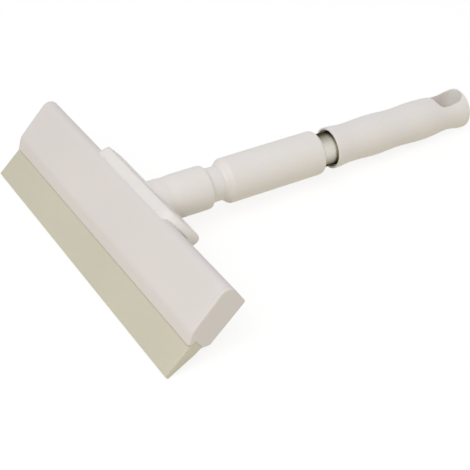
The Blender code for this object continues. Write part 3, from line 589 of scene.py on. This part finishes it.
def makeCap(name, node, side):
    outside = side * head["halfLength"]
    inside = side * (head["halfLength"] - head["capThickness"])
    shape = roundedPlate(head["outline"], inside, outside, head["capEdge"], head["capBorder"])
    ends = sorted((inside, outside))
    shape = combined(shape, prism(head["notch"], ends[0] - cutPast, ends[1] + cutPast))
    for cell in head["cells"]:
        tongue = sectionFace(cell, unsplit)
        rims = bmesh.ops.inset_individual(tongue, faces=list(tongue.faces), thickness=head["gap"])
        bmesh.ops.delete(tongue, geom=rims["faces"], context="FACES")
        pullLong(tongue, *sorted((inside - side * head["tongue"], inside + side * head["capThickness"] / 2)))
        shape = combined(shape, tongue, "UNION")
    finishPiece(name, shape, onHead, "head", node, headPlasticMaterial)


makeHolder()
makeCap("endCapLeft", "end_cap_left", -1)
makeCap("endCapRight", "end_cap_right", 1)

# the blade's section is half of it, from the edge up to the bead
blade = {
    "half": [(1.3, 0, 0.2), (3.7, 20.3, 0), (3.45, 20.3, 0), (3.45, 27.2, 0), (5.0, 27.2, 0.3),
             (5.0, 30.7, 0.3)],
    "end": 115.0, "cuts": 46, "wedgeTop": 20.3, "endEdge": 0.35, "beadEnd": 112.1, "beadRoom": 24.92,
    "roomHalf": 9.0, "roomTop": 40.0}


def makeBlade():
    other = [(-back, up, radius) for back, up, radius in reversed(blade["half"])]
    shape = sectionFace(blade["half"] + other)
    pullLong(shape, -blade["end"], blade["end"], blade["cuts"])
    top = blade["wedgeTop"]
    rim = []
    for edge in shape.edges:
        low = all(vert.co.y < top + samePlace for vert in edge.verts)
        atEnd = all(abs(abs(vert.co.z) - blade["end"]) < samePlace for vert in edge.verts)
        level = sum(abs(vert.co.y - top) for vert in edge.verts) < samePlace
        if low and atEnd and not level:
            rim.append(edge)
    bmesh.ops.bevel(shape, geom=rim, offset=blade["endEdge"], offset_type="OFFSET", segments=3, profile=0.5,
                    affect="EDGES", material=-1, clamp_overlap=True)
    # above the wedge the rubber stops short, where the caps close the slot
    half, low, high = blade["roomHalf"], blade["beadRoom"], blade["roomTop"]
    room = [(-half, low, 0), (-half, high, 0), (half, high, 0), (half, low, 0)]
    for side in (-1, 1):
        ends = sorted((side * blade["beadEnd"], side * (blade["end"] + cutPast)))
        shape = combined(shape, prism(room, *ends))
    finishPiece("bladeRubber", shape, onHead, "head", "blade", rubberMaterial, sharp=30)


makeBlade()
print("head made")

# the plate sits on the head's top edge; heights are above that edge, reaches in front of its back corner,
# and the voxel is in metres, as the CAD's mesh is
saddle = {
    "voxel": 0.00052, "passes": 4, "corner": (3.899, 58.3), "tilt": 4.5, "seatHalf": 33.0, "gap": 0.3,
    "relief": 0.0625, "sunk": 0.3, "bedHalf": 50.2, "bedFade": 3.2, "bedStart": 3.0, "bedReach": 3.0,
    "roundStart": 11.5, "roundRadius": 6.0, "roundMost": 0.92, "plateTop": 2.5, "trim": 1.1,
    "trimFrom": 9.0, "trimLength": 10.0, "trimInside": 13.0, "trimOutside": 18.0, "trimFade": 2.7,
    "footLow": -9.0, "footHigh": 5.0, "footInside": 12.5, "footOutside": 17.0, "footPasses": 18,
    "endFrom": 42.0, "endPasses": 22}


def headDrop(reach):
    # how far the head's rounded front edge falls away under the plate
    past = min(max(reach - saddle["roundStart"], 0.0), saddle["roundMost"] * saddle["roundRadius"])
    return saddle["roundRadius"] - math.sqrt(saddle["roundRadius"] ** 2 - past ** 2)


def bedDrop(along, height, reach):
    # how far a point of the plate comes down on the head, round its front edge too, but not near the ends
    gap = saddle["gap"]
    if abs(along) > saddle["seatHalf"]:
        gap += saddle["relief"] * max(0.0, reach)
    share = min(1.0, (gap + saddle["bedReach"] - height) / (saddle["bedReach"] - saddle["gap"]))
    fade = min(1.0, (saddle["bedHalf"] - abs(along)) / saddle["bedFade"], reach / saddle["bedStart"])
    if height <= 0 or share <= 0 or fade <= 0:
        return 0.0
    return (gap + saddle["sunk"] + headDrop(reach)) * share * fade * fade * (3 - 2 * fade)


def footTrim(out, along, aboveTop):
    # how far a point of the neck's foot is drawn in to the neck's own line
    if aboveTop <= 0 or not saddle["trimInside"] < out < saddle["trimOutside"] or along >= saddle["trimFrom"]:
        return 0.0
    trim = saddle["trim"] * min(1.0, (saddle["trimFrom"] - along) / saddle["trimLength"]) ** 2
    return trim * min(1.0, aboveTop) * min(1.0, (saddle["trimOutside"] - out) / saddle["trimFade"])


def makeSaddle():
    shape = softened(mergedCopy("neck_saddle"), saddle["voxel"], saddle["passes"])
    shape.transform(onHead.inverted())
    tilt = math.radians(saddle["tilt"])
    normal = Vector((math.sin(tilt), math.cos(tilt), 0))
    forward = Vector((-math.cos(tilt), math.sin(tilt), 0))
    corner = Vector((*saddle["corner"], 0))
    toHandle = onHandle.inverted() @ onHead
    foot = []
    for vert in shape.verts:
        offset = Vector((vert.co.x, vert.co.y, 0)) - corner
        height, reach = offset.dot(normal), offset.dot(forward)
        vert.co -= normal * bedDrop(vert.co.z, height, reach)
        place = toHandle @ vert.co
        out = math.hypot(place.x, place.y)
        trim = footTrim(out, place.z, height - saddle["plateTop"])
        if trim:
            place.x *= 1 - trim / out
            place.y *= 1 - trim / out
            vert.co = toHandle.inverted() @ place
        onFoot = saddle["footLow"] < place.z < saddle["footHigh"]
        if onFoot and height > saddle["plateTop"] and saddle["footInside"] < out < saddle["footOutside"]:
            foot.append(vert)
    relax(shape, foot, saddle["footPasses"])
    relax(shape, [vert for vert in shape.verts if abs(vert.co.z) > saddle["endFrom"]], saddle["endPasses"])
    finishPiece("neckSaddle", shape, onHead, "head", "neck_saddle", handlePlasticWithPaintedLightMaterial,
                sharp=80)


def makeScrew(name, node, side):
    size = screw
    radius, seat = size["headRadius"], size["seat"]
    crown = seat + size["headHeight"]
    profile = [(0, crown)]
    profile += arc((0, crown), (radius, crown - size["headHeight"] / 2), True)
    profile += [(radius, seat), (size["shank"], seat), (size["shank"], size["shank"] - size["length"]),
                (0, -size["length"])]
    shape = turnedShape(profile, steps=64)
    for turn in (0, math.pi / 2):
        recess = bmesh.new()
        bmesh.ops.create_cube(recess, size=1)
        bmesh.ops.scale(recess, vec=(size["recessSpan"], size["recessWidth"], 2 * size["recessDepth"]),
                        verts=recess.verts)
        upright = [edge for edge in recess.edges if edge.verts[0].co.z * edge.verts[1].co.z < 0]
        bmesh.ops.bevel(recess, geom=upright, offset=size["recessRound"], offset_type="OFFSET", segments=3,
                        profile=0.5, affect="EDGES", material=-1)
        recess.transform(Matrix.Translation((0, 0, crown)) @ Matrix.Rotation(turn, 4, "Z"))
        shape = combined(shape, recess)
    finishPiece(name, shape, onHead @ screwPlace(side), "head", node, screwMaterial, sharp=30)


makeSaddle()
makeScrew("saddleScrewLeft", "saddle_screw_left", -1)
makeScrew("saddleScrewRight", "saddle_screw_right", 1)
print("saddle made")

# the handle's pieces; places are millimetres along it from the saddle
plug = {
    "start": 4.0, "collar": 28.33, "end": 36.85, "spigot": 10.2, "waist": 10.9, "bore": 9.3, "floor": 8.0,
    "edge": 0.15}


def makePlug():
    size = plug
    edge = size["edge"]
    profile = [(0, size["floor"]), (size["bore"], size["floor"]), (size["bore"], size["end"]),
               (size["waist"] - edge, size["end"])]
    profile += arc((size["waist"] - edge, size["end"]), (size["waist"], size["end"] - edge), True, 5)
    profile.append((size["waist"], size["collar"] + edge))
    profile += arc((size["waist"], size["collar"] + edge), (size["waist"] - edge, size["collar"]), False, 5)
    profile += [(size["spigot"], size["collar"]), (size["spigot"], size["start"] + edge),
                (size["spigot"] - edge, size["start"]), (0, size["start"])]
    finishPiece("handlePlug", turnedShape(profile), onHandle, "head", "handle_plug", turnedPlasticMaterial)


innerTube = {"start": 8.3, "end": 177.7, "radius": 9.0, "bore": 8.2, "edge": 0.2}
outerTube = {"start": 59.0, "end": 196.0, "radius": 11.0, "bore": 10.4, "edge": 0.15}


def makeTube(name, node, size, body):
    edge = size["edge"]
    profile = [(size["bore"], size["start"]), (size["radius"] - edge, size["start"]),
               (size["radius"], size["start"] + edge), (size["radius"], size["end"] - edge),
               (size["radius"] - edge, size["end"]), (size["bore"], size["end"])]
    finishPiece(name, turnedShape(profile), onHandle, body, node, tubeMaterial)


sleeve = {
    "start": 36.9, "end": 109.6, "radius": 14.4, "nose": 11.05, "noseLength": 5.6, "wall": 4.5, "bore": 12.5,
    "hole": 9.3, "coneRadius": 10.9, "coneLength": 7.0, "lip": 11.3, "lipLength": 5.0, "lipSlope": 1.2,
    "endRound": 2.4, "edge": 0.15}


def makeSleeve():
    size = sleeve
    start, end, edge = size["start"], size["end"], size["edge"]
    rimStart = (size["lip"] + edge, end)
    profile = [rimStart]
    profile += arc(rimStart, (size["radius"], end - size["endRound"]), True, 12)
    nose = (size["radius"], start + size["noseLength"])
    profile.append(nose)
    profile += swell(nose, (size["nose"], start + edge))
    cone = start + size["wall"]
    lip = end - size["lipLength"]
    profile += [(size["nose"] - edge, start), (size["hole"], start), (size["hole"], cone),
                (size["coneRadius"], cone), (size["bore"], cone + size["coneLength"]),
                (size["bore"], lip - size["lipSlope"]), (size["lip"], lip), (size["lip"], end - edge)]
    shape = turnedShape(profile, steps=160)
    finishPiece("twistSleeve", shape, onHandle, "sleeve", "twist_sleeve", turnedPlasticMaterial)


# the slot's corners are (side, along, radius)
grip = {
    "start": 119.3, "end": 228.5, "radius": 13.05, "wave": 0.35, "waveLength": 37.5, "waveStart": 33.0,
    "waist": 0.75, "waistPlace": 92.0, "waistReach": 13.0, "mouth": 13.6, "mouthBore": 12.2,
    "mouthDepth": 2.2, "blend": 12.0, "lipRound": 0.3, "endCorner": 0.5, "endDome": 1.9, "bore": 11.3,
    "boreEnd": 197.8,
    "slot": [(7.65, 203.7, 4.2), (7.65, 225.2, 6.8), (-7.65, 225.2, 6.8), (-7.65, 203.7, 4.2)],
    "slotReach": 20.0, "join": 198.6, "overlap": 3.0, "trimBack": 1.0, "spacing": 1.0, "steps": 160,
    "voxel": 0.3, "passes": 6}


def gripRadius(place):
    along = place - grip["start"]
    wave = grip["wave"] * math.cos(math.tau * (along - grip["waveStart"]) / grip["waveLength"])
    plain = grip["radius"] + wave
    offWaist = abs(along - grip["waistPlace"]) / grip["waistReach"]
    if offWaist < 1:
        plain -= grip["waist"] * (0.5 + 0.5 * math.cos(math.pi * offWaist))
    if along < grip["blend"]:
        share = 0.5 + 0.5 * math.cos(math.pi * along / grip["blend"])
        return plain + (grip["mouth"] - plain) * share
    return plain


def gripLine(fromPlace, toPlace):
    # the outer profile between two places
    count = max(1, round((toPlace - fromPlace) / grip["spacing"]))
    places = [fromPlace + (toPlace - fromPlace) * step / count for step in range(count + 1)]
    return [(gripRadius(place), place) for place in places]


def gripBarrel():
    # the part with the bore, open where the slotted end joins it
    size = grip
    start, lip, mouth, mouthBore = size["start"], size["lipRound"], size["mouth"], size["mouthBore"]
    floor = start + size["mouthDepth"]
    profile = [(0, size["boreEnd"]), (size["bore"], size["boreEnd"]), (size["bore"], floor),
               (mouthBore, floor), (mouthBore, start + lip / 2), (mouthBore + lip / 2, start),
               (mouth - lip, start)]
    profile += arc((mouth - lip, start), (mouth, start + lip), True, 5)
    profile += gripLine(start + 2 * lip, size["join"])
    return turnedShape(profile, size["steps"], spacing=2.0, closed=False)


def gripTail():
    # the solid end with its hanging slot, open at the join
    size = grip
    corner, first = size["endCorner"], size["join"] - size["overlap"]
    rim = size["end"] - size["endDome"] - 2 * corner
    profile = [(0, first)] + gripLine(first, rim)
    profile += arc(profile[-1], (profile[-1][0] - corner, rim + corner), False, 6)
    profile += arc(profile[-1], (0, rim + corner + size["endDome"]), True, 12)
    body = turnedShape(profile, size["steps"], spacing=1.0)
    slot = sectionFace(size["slot"], spacing=1.0, segments=14)
    pullLong(slot, -size["slotReach"], size["slotReach"])
    slot.transform(Matrix.Rotation(math.pi / 2, 4, "X"))
    tail = softened(combined(body, slot), size["voxel"], size["passes"])
    bmesh.ops.bisect_plane(tail, geom=list(tail.verts) + list(tail.edges) + list(tail.faces),
                           dist=weldGap / 10, plane_co=(0, 0, size["join"] + size["trimBack"]),
                           plane_no=(0, 0, 1), clear_inner=True)
    for edge in tail.edges:
        if edge.is_boundary:
            for vert in edge.verts:
                scale = gripRadius(vert.co.z) / math.hypot(vert.co.x, vert.co.y)
                vert.co.x *= scale
                vert.co.y *= scale
    return tail


def makeGrip():
    tailMesh = bpy.data.meshes.new("gripTail")
    tail = gripTail()
    tail.to_mesh(tailMesh)
    tail.free()
    shape = gripBarrel()
    shape.from_mesh(tailMesh)
    bpy.data.meshes.remove(tailMesh)
    openEdges = [edge for edge in shape.edges if edge.is_boundary]
    bmesh.ops.bridge_loops(shape, edges=openEdges)
    bmesh.ops.triangulate(shape, faces=[face for face in shape.faces if len(face.verts) > 4])
    bmesh.ops.recalc_face_normals(shape, faces=shape.faces)
    print("grip: open edges left", sum(edge.is_boundary for edge in shape.edges))
    finishPiece("handGrip", shape, onHandle, "handle", "grip", turnedPlasticMaterial,
                sharp=45)


makePlug()
makeTube("innerTube", "inner_tube", innerTube, "head")
makeTube("outerTube", "outer_tube", outerTube, "handle")
makeSleeve()
makeGrip()
for node in ("guide_bush", "lock_collet", "tube_stop"):
    frame["nodes"][node].data.materials.clear()
    frame["nodes"][node].data.materials.append(naturalMaterial)
print("handle made")

# the floor, the light and the camera, in metres, but photoView's place, lens and sensor in millimetres
studio = {
    "floorSize": 6.0, "floorDrop": 0.0002, "floorColour": (0.77, 0.725, 0.57), "floorRoughness": 0.9,
    "floorSeen": 0.22, "floorGlow": 0.835, "worldColour": (0.99, 0.97, 0.97), "worldStrength": 0.52,
    "keyPlace": (0.49, -0.63, 1.15), "keySize": 1.3, "keyPower": 9.3, "keyColour": (1.0, 0.985, 0.97)}


def backgroundRays(tree):
    # camera, glossy and transmission rays see the plain white background
    rays = addNode(tree, "ShaderNodeLightPath")
    total = addMath(tree, "ADD", rays.outputs["Is Camera Ray"], rays.outputs["Is Glossy Ray"])
    return addMath(tree, "MAXIMUM", total, rays.outputs["Is Transmission Ray"])


def makeFloor():
    shape = bmesh.new()
    bmesh.ops.create_grid(shape, x_segments=1, y_segments=1, size=studio["floorSize"] / 2)
    floor = holdShape(shape, "floor")
    floor.location.z = -studio["floorDrop"]
    material, tree, shader = newMaterial("paleFloor")
    shader.inputs["Base Color"].default_value = (*studio["floorColour"], 1)
    shader.inputs["Roughness"].default_value = studio["floorRoughness"]
    shader.inputs["Specular IOR Level"].default_value = 0.0
    seen = studio["floorSeen"]
    shade = addNode(tree, "ShaderNodeBsdfDiffuse", {"Color": (seen, seen, seen, 1)})
    glow = addNode(tree, "ShaderNodeEmission", {"Color": (1, 1, 1, 1), "Strength": studio["floorGlow"]})
    pale = addNode(tree, "ShaderNodeAddShader")
    tree.links.new(shade.outputs["BSDF"], pale.inputs[0])
    tree.links.new(glow.outputs["Emission"], pale.inputs[1])
    mix = addNode(tree, "ShaderNodeMixShader")
    tree.links.new(backgroundRays(tree), mix.inputs[0])
    tree.links.new(shader.outputs["BSDF"], mix.inputs[1])
    tree.links.new(pale.outputs["Shader"], mix.inputs[2])
    tree.links.new(mix.outputs["Shader"], tree.nodes["Material Output"].inputs["Surface"])
    floor.data.materials.append(material)


def makeWorld():
    world = bpy.data.worlds.new("studio")
    bpy.context.scene.world = world
    world.use_nodes = True
    tree = world.node_tree
    tree.nodes.clear()
    soft = addNode(tree, "ShaderNodeBackground",
                   {"Color": (*studio["worldColour"], 1), "Strength": studio["worldStrength"]})
    white = addNode(tree, "ShaderNodeBackground", {"Color": (1, 1, 1, 1), "Strength": 1.0})
    mix = addNode(tree, "ShaderNodeMixShader")
    tree.links.new(backgroundRays(tree), mix.inputs[0])
    tree.links.new(soft.outputs[0], mix.inputs[1])
    tree.links.new(white.outputs[0], mix.inputs[2])
    output = addNode(tree, "ShaderNodeOutputWorld")
    tree.links.new(mix.outputs[0], output.inputs["Surface"])


def makeLamp(name, place, size, power, colour):
    light = bpy.data.lights.new(name, "AREA")
    light.size = size
    light.energy = power
    light.color = colour
    lamp = bpy.data.objects.new(name, light)
    lamp.location = place
    lamp.rotation_euler = (-Vector(place)).to_track_quat("-Z", "Y").to_euler()
    collection.objects.link(lamp)


photoView = {
    "place": (539.62, -340.33, 443.87), "azimuth": 60.478, "elevation": 36.918, "roll": -2.224,
    "lens": 92.668, "sensor": 36.0, "clipStart": 0.01}


def makeCamera():
    side = math.radians(photoView["azimuth"])
    rise = math.radians(photoView["elevation"])
    back = Vector((math.sin(side) * math.cos(rise), -math.cos(side) * math.cos(rise), math.sin(rise)))
    right = Vector((math.cos(side), math.sin(side), 0))
    turned = Matrix((right, back.cross(right), back)).transposed().to_4x4()
    data = bpy.data.cameras.new("photoCamera")
    data.lens = photoView["lens"]
    data.sensor_width = photoView["sensor"]
    data.clip_start = photoView["clipStart"]
    camera = bpy.data.objects.new("photoCamera", data)
    collection.objects.link(camera)
    roll = Matrix.Rotation(math.radians(photoView["roll"]), 4, "Z")
    camera.matrix_world = Matrix.Translation(Vector(photoView["place"]) * mm) @ turned @ roll
    bpy.context.scene.camera = camera


makeFloor()
makeWorld()
makeLamp("key", studio["keyPlace"], studio["keySize"], studio["keyPower"], studio["keyColour"])
makeCamera()
bpy.context.scene.view_settings.view_transform = "Standard"
print("studio made")
